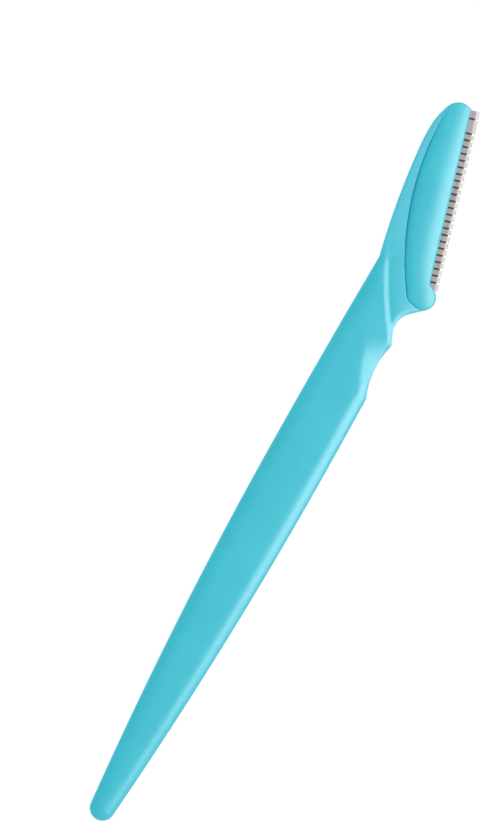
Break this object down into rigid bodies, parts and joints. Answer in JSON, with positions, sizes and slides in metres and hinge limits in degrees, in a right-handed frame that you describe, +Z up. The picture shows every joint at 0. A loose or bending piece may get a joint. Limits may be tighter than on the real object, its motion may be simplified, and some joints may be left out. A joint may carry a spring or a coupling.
{
  "type": "eyebrow razor",
  "caption": "Slim flat eyebrow razor: tapered plastic handle with finger scoop, angled head plate, fine blade clamped between crowned covers, slotted steel guard over the edge.",
  "frame": {"origin": "on the flat underside of the handle, on its centre line, at the handle's widest place", "axes": "+Y along the handle towards the head, +X towards the blade's side, +Z up out of the broad face that shows in the picture"},
  "size_m": [0.0176, 0.155, 0.004],
  "materials": {
    "handle_plastic": "smooth satin turquoise moulding, slightly translucent where it is thin",
    "cover_plastic": "smooth satin turquoise moulding",
    "blade_steel": "dark ground steel strip",
    "guard_steel": "bright folded steel foil with stamped slots"
  },
  "bodies": {
    "root": {"handle": "handle_plastic", "front_blade_cover": "cover_plastic", "rear_blade_cover": "cover_plastic", "blade": "blade_steel", "blade_guard": "guard_steel"}
  },
  "joints": []
}
